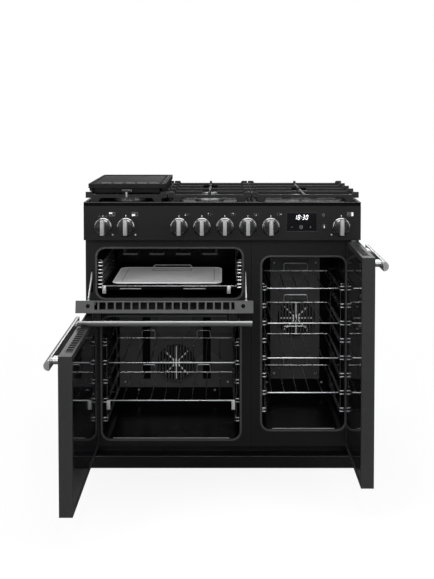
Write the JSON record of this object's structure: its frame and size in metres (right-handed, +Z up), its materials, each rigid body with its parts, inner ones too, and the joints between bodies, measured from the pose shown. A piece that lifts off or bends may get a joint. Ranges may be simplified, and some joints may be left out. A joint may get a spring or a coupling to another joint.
{
  "type": "range cooker with double oven",
  "caption": "Wide dual-fuel range cooker: gas hob with pan supports and griddle over a grill, a main oven and a tall side oven, with hinged doors, sliding shelves and turning knobs.",
  "frame": {"origin": "on the floor, at the centre of the four feet under the cabinet's middle", "axes": "+X to the right seen from the front, +Y to the back, +Z up; the doors open towards -Y"},
  "size_m": [0.972, 1.135, 0.9593],
  "materials": {
    "casing_black": "satin",
    "galvanised": "matt",
    "front_black": "gloss",
    "oven_enamel": "gloss",
    "seal_trim": "satin",
    "hob_enamel": "gloss",
    "burner_metal": "matt",
    "burner_enamel": "satin",
    "fascia_black": "satin",
    "clock_glass": "gloss",
    "chrome_trim": "polished",
    "knob_finish": "satin",
    "gas_brass": "satin",
    "plated_steel": "satin",
    "control_plastic": "matt",
    "foot_black": "matt",
    "shelf_chrome": "polished",
    "element_sheath": "matt",
    "door_black": "satin",
    "door_glass": "gloss",
    "handle_steel": "satin",
    "pan_enamel": "gloss",
    "trivet_steel": "satin",
    "griddle_iron": "matt",
    "support_iron": "matt"
  },
  "bodies": {
    "cabinet": {"side_panels": "casing_black", "back_panel": "galvanised", "base_panel": "galvanised", "front_frame": "front_black", "main_oven_cavity": "oven_enamel", "grill_cavity": "oven_enamel", "tall_oven_cavity": "oven_enamel", "oven_seals": "seal_trim", "hob_tray": "hob_enamel", "rear_vent_trim": "hob_enamel", "burner_bases": "burner_metal", "burner_caps": "burner_enamel", "fascia": "fascia_black", "clock_module": "clock_glass", "knob_collars": "chrome_trim", "gas_taps": "gas_brass", "gas_rail": "plated_steel", "oven_controls": "control_plastic", "plinth": "front_black", "feet": "foot_black", "shelf_ladders": "shelf_chrome", "fan_covers": "oven_enamel", "fan_motors": "plated_steel", "heating_elements": "element_sheath", "hinge_brackets": "plated_steel"},
    "left_door": {"left_door_panel": "door_black", "left_door_glass": "door_glass", "left_door_handle": "handle_steel"},
    "right_door": {"right_door_panel": "door_black", "right_door_glass": "door_glass", "right_door_handle": "handle_steel"},
    "grill_door": {"grill_door_panel": "door_black", "grill_door_glass": "door_glass", "grill_door_vent": "door_black", "grill_door_handle": "handle_steel", "grill_door_stays": "plated_steel"},
    "upper_main_shelf": {"main_shelf_upper": "shelf_chrome"},
    "lower_main_shelf": {"main_shelf_lower": "shelf_chrome"},
    "tall_oven_shelf_1": {"tall_shelf_1": "shelf_chrome"},
    "tall_oven_shelf_2": {"tall_shelf_2": "shelf_chrome"},
    "tall_oven_shelf_3": {"tall_shelf_3": "shelf_chrome"},
    "tall_oven_shelf_4": {"tall_shelf_4": "shelf_chrome"},
    "carriage": {"grill_carriage": "shelf_chrome", "grill_pan": "pan_enamel", "grill_trivet": "trivet_steel"},
    "griddle_plate": {"griddle": "griddle_iron"},
    "left_support": {"pan_support_left": "support_iron"},
    "middle_support": {"pan_support_middle": "support_iron"},
    "right_support": {"pan_support_right": "support_iron"},
    "main_oven_fan": {"main_fan": "plated_steel"},
    "tall_oven_fan": {"tall_fan": "plated_steel"},
    "light_switch": {"light_button": "chrome_trim"},
    "grill_knob_body": {"grill_knob": "knob_finish"},
    "main_oven_knob_body": {"main_oven_knob": "knob_finish"},
    "hob_knob_1_body": {"hob_knob_1": "knob_finish"},
    "hob_knob_2_body": {"hob_knob_2": "knob_finish"},
    "hob_knob_3_body": {"hob_knob_3": "knob_finish"},
    "hob_knob_4_body": {"hob_knob_4": "knob_finish"},
    "hob_knob_5_body": {"hob_knob_5": "knob_finish"},
    "tall_oven_knob_body": {"tall_oven_knob": "knob_finish"}
  },
  "joints": [
    {"name": "left_door_hinge", "type": "hinge", "parent": "cabinet", "child": "left_door", "pos_m": [-0.43, -0.288, 0.3], "axis": [0, 0, -1], "range_deg": [-90, 0]},
    {"name": "right_door_hinge", "type": "hinge", "parent": "cabinet", "child": "right_door", "pos_m": [0.43, -0.288, 0.4], "axis": [0, 0, 1], "range_deg": [-90, 0]},
    {"name": "grill_door_hinge", "type": "hinge", "parent": "cabinet", "child": "grill_door", "pos_m": [-0.1765, -0.284, 0.56], "axis": [1, 0, 0], "range_deg": [-78, 0]},
    {"name": "grill_knob_turn", "type": "hinge", "parent": "cabinet", "child": "grill_knob_body", "pos_m": [-0.387, -0.31, 0.825], "axis": [0, 1, 0], "range_deg": [0, 270]},
    {"name": "main_oven_knob_turn", "type": "hinge", "parent": "cabinet", "child": "main_oven_knob_body", "pos_m": [-0.313, -0.31, 0.825], "axis": [0, 1, 0], "range_deg": [0, 270]},
    {"name": "hob_knob_1_turn", "type": "hinge", "parent": "cabinet", "child": "hob_knob_1_body", "pos_m": [-0.1405, -0.31, 0.825], "axis": [0, -1, 0], "range_deg": [0, 210]},
    {"name": "hob_knob_2_turn", "type": "hinge", "parent": "cabinet", "child": "hob_knob_2_body", "pos_m": [-0.0659, -0.31, 0.825], "axis": [0, -1, 0], "range_deg": [0, 210]},
    {"name": "hob_knob_3_turn", "type": "hinge", "parent": "cabinet", "child": "hob_knob_3_body", "pos_m": [0.0087, -0.31, 0.825], "axis": [0, -1, 0], "range_deg": [0, 210]},
    {"name": "hob_knob_4_turn", "type": "hinge", "parent": "cabinet", "child": "hob_knob_4_body", "pos_m": [0.0833, -0.31, 0.825], "axis": [0, -1, 0], "range_deg": [0, 210]},
    {"name": "hob_knob_5_turn", "type": "hinge", "parent": "cabinet", "child": "hob_knob_5_body", "pos_m": [0.1579, -0.31, 0.825], "axis": [0, -1, 0], "range_deg": [0, 210]},
    {"name": "tall_oven_knob_turn", "type": "hinge", "parent": "cabinet", "child": "tall_oven_knob_body", "pos_m": [0.3865, -0.31, 0.825], "axis": [0, 1, 0], "range_deg": [0, 270]},
    {"name": "light_button_press", "type": "slide", "parent": "cabinet", "child": "light_switch", "axis": [0, 1, 0], "range_m": [0, 0.002], "stiffness_N_per_m": 400},
    {"name": "upper_main_shelf_slide", "type": "slide", "parent": "cabinet", "child": "upper_main_shelf", "axis": [0, -1, 0], "range_m": [0, 0.25]},
    {"name": "lower_main_shelf_slide", "type": "slide", "parent": "cabinet", "child": "lower_main_shelf", "axis": [0, -1, 0], "range_m": [0, 0.25]},
    {"name": "tall_oven_shelf_1_slide", "type": "slide", "parent": "cabinet", "child": "tall_oven_shelf_1", "axis": [0, -1, 0], "range_m": [0, 0.25]},
    {"name": "tall_oven_shelf_2_slide", "type": "slide", "parent": "cabinet", "child": "tall_oven_shelf_2", "axis": [0, -1, 0], "range_m": [0, 0.25]},
    {"name": "tall_oven_shelf_3_slide", "type": "slide", "parent": "cabinet", "child": "tall_oven_shelf_3", "axis": [0, -1, 0], "range_m": [0, 0.25]},
    {"name": "tall_oven_shelf_4_slide", "type": "slide", "parent": "cabinet", "child": "tall_oven_shelf_4", "axis": [0, -1, 0], "range_m": [0, 0.25]},
    {"name": "carriage_slide", "type": "slide", "parent": "cabinet", "child": "carriage", "axis": [0, -1, 0], "range_m": [0, 0.1]},
    {"name": "left_support_lift", "type": "slide", "parent": "cabinet", "child": "left_support", "axis": [0, 0, 1], "range_m": [0, 0.15]},
    {"name": "middle_support_lift", "type": "slide", "parent": "cabinet", "child": "middle_support", "axis": [0, 0, 1], "range_m": [0, 0.15]},
    {"name": "right_support_lift", "type": "slide", "parent": "cabinet", "child": "right_support", "axis": [0, 0, 1], "range_m": [0, 0.15]},
    {"name": "griddle_lift", "type": "slide", "parent": "left_support", "child": "griddle_plate", "axis": [0, 0, 1], "range_m": [0, 0.1]},
    {"name": "main_fan_spin", "type": "hinge", "parent": "cabinet", "child": "main_oven_fan", "pos_m": [-0.171, 0.12, 0.262], "axis": [0, 1, 0], "continuous": true},
    {"name": "tall_fan_spin", "type": "hinge", "parent": "cabinet", "child": "tall_oven_fan", "pos_m": [0.274, 0.12, 0.429], "axis": [0, 1, 0], "continuous": true}
  ]
}
